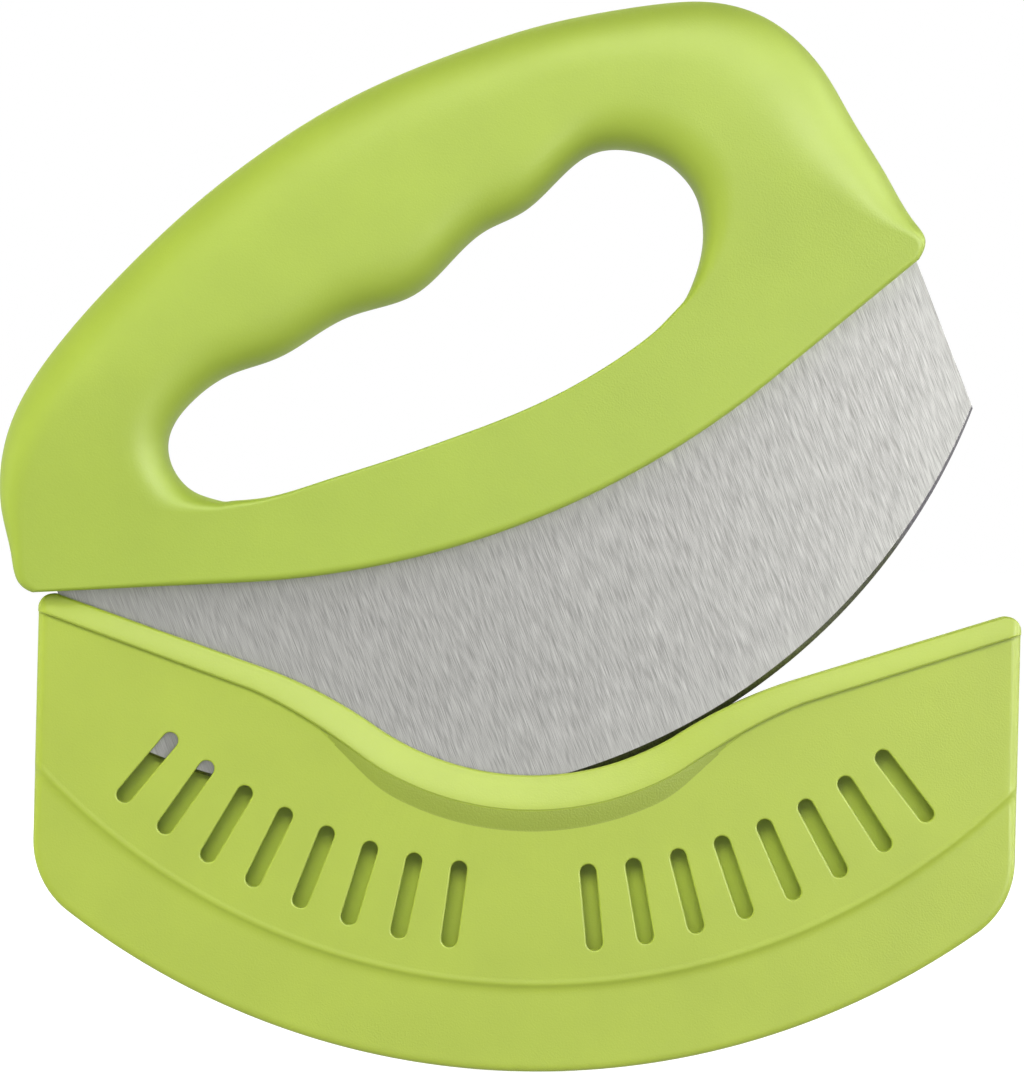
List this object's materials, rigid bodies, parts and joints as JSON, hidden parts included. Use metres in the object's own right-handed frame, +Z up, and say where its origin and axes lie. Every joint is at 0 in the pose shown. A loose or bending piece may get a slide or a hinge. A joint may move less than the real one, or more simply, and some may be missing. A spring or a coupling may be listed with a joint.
{
  "type": "rocker pizza cutter",
  "caption": "Rocker blade knife with a looped plastic handle, leaning out of its slip-on blade sheath.",
  "frame": {"origin": "under the middle of the whole object in its shown pose, on the plane that the lowest point of the sheath's curved foot touches", "axes": "+X from the heel side, where the knife hinges, to the toe side; +Y square to the wide faces, towards the rear shell; +Z up out of the sheath's mouth"},
  "size_m": [0.1888, 0.0252, 0.1984],
  "materials": {
    "sheath_plastic": "satin moulded lime green plastic",
    "handle_plastic": "satin moulded lime green plastic, slightly deeper than the sheath",
    "blade_steel": "stainless steel brushed square to the cutting chord, with a polished ground edge"
  },
  "bodies": {
    "sheath": {"sheath": "sheath_plastic"},
    "knife": {"blade": "blade_steel", "handle_front_shell": "handle_plastic", "handle_rear_shell": "handle_plastic"}
  },
  "joints": [
    {"name": "knife_tilt", "type": "hinge", "parent": "sheath", "child": "knife", "pos_m": [-0.08435, 0, 0.08345], "axis": [0, -1, 0], "range_deg": [-22.4, 33]}
  ]
}
